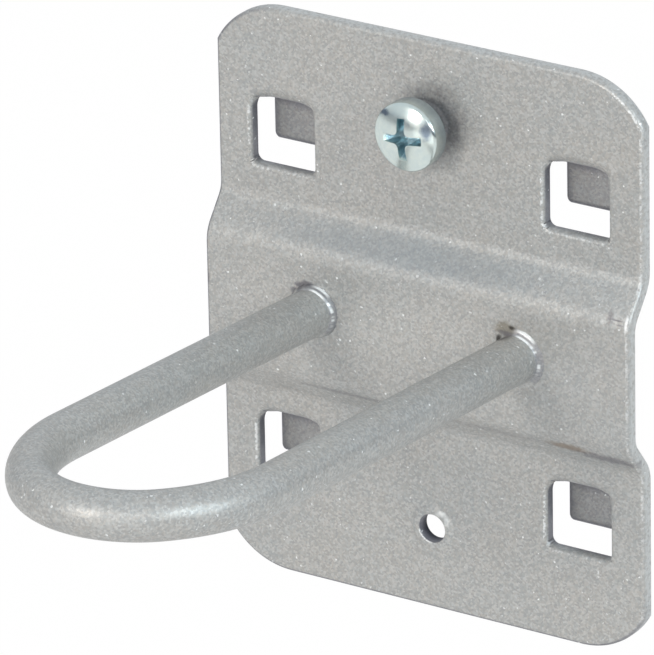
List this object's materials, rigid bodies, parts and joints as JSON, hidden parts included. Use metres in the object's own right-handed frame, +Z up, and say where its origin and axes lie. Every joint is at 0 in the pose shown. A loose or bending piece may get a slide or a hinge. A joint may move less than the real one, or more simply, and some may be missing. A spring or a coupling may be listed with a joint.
{
  "type": "loop hook",
  "caption": "Pressed steel plate with folded rear lugs and a locking screw for a square-hole tool panel, carrying a welded U-shaped rod loop that holds a tool.",
  "frame": {"origin": "centre of the four lugs, on the plane of the plate's back that meets the panel", "axes": "+X to the right and +Z up when facing the loop, +Y from the plate's back into the panel, so the loop points along -Y"},
  "size_m": [0.055, 0.0771, 0.068],
  "materials": {
    "silver_paint": "silver-grey powder coat with fine metal flake",
    "bright_zinc": "bright zinc plating with a faint blue passivation"
  },
  "bodies": {
    "root": {"back_plate": "silver_paint", "loop_rod": "silver_paint", "left_weld": "silver_paint", "right_weld": "silver_paint", "locking_screw": "bright_zinc"}
  },
  "joints": []
}
